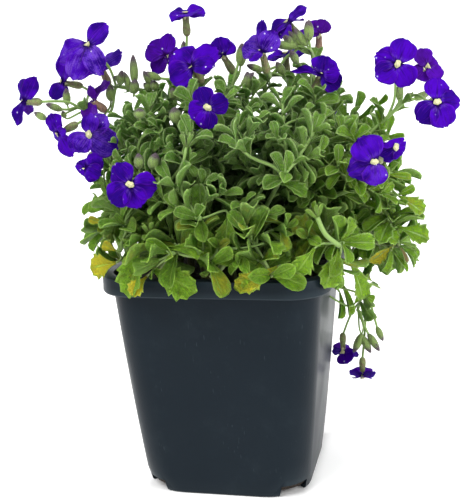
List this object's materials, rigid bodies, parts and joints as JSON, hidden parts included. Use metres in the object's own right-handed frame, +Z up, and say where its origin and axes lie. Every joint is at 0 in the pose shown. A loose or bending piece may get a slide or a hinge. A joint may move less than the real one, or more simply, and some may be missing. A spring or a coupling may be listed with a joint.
{
  "type": "potted aubrieta",
  "caption": "Flowering aubrieta in a square nursery pot: mound of small toothed leaves on thin stems, violet four-petalled flowers on stalks above and over the rim.",
  "frame": {"origin": "middle of the pot's flat underside", "axes": "+Z up; -Y is the pot side turned to the viewer; +X to the right, where one shoot hangs down"},
  "size_m": [0.184, 0.1319, 0.1989],
  "materials": {
    "pot_plastic": "moulded plastic, blue-grey, satin, faintly scratched",
    "peat": "damp crumbled peat, dark brown, rough",
    "foliage": "living leaf and stem, mid green with pale edges and fine down",
    "petals": "living petal, deep violet-blue, softly velvety"
  },
  "bodies": {
    "root": {"pot": "pot_plastic", "soil": "peat", "shoot_01": "foliage", "shoot_02": "foliage", "shoot_03": "foliage", "shoot_04": "foliage", "shoot_05": "foliage", "shoot_06": "foliage", "shoot_07": "foliage", "shoot_08": "foliage", "shoot_09": "foliage", "shoot_10": "foliage", "shoot_11": "foliage", "shoot_12": "foliage", "shoot_13": "foliage", "shoot_14": "foliage", "shoot_15": "foliage", "shoot_16": "foliage", "shoot_17": "foliage", "shoot_18": "foliage", "shoot_19": "foliage", "shoot_20": "foliage", "shoot_21": "foliage", "shoot_22": "foliage", "shoot_23": "foliage", "shoot_24": "foliage", "shoot_25": "foliage", "shoot_26": "foliage", "shoot_27": "foliage", "shoot_28": "foliage", "shoot_29": "foliage", "shoot_30": "foliage", "flower_west_low": "petals", "flower_west_high": "petals", "flower_west_far": "petals", "flower_west_mid": "petals", "flower_west_top": "petals", "flower_front_west_low": "petals", "flower_front_west": "petals", "flower_front_low": "petals", "flower_top_back": "petals", "flower_top_front": "petals", "flower_top_high": "petals", "flower_front_high": "petals", "flower_middle_high": "petals", "flower_crest_west": "petals", "flower_crest_low": "petals", "flower_crest_high": "petals", "flower_crest_east": "petals", "flower_east_drooping": "petals", "flower_east_front": "petals", "flower_east_back": "petals", "flower_east_far": "petals", "flower_east_low_back": "petals", "flower_east_low": "petals", "flower_trailing_high": "petals", "flower_trailing_low": "petals", "flower_back_west": "petals", "flower_back_east": "petals", "flower_back_low": "petals"}
  },
  "joints": []
}
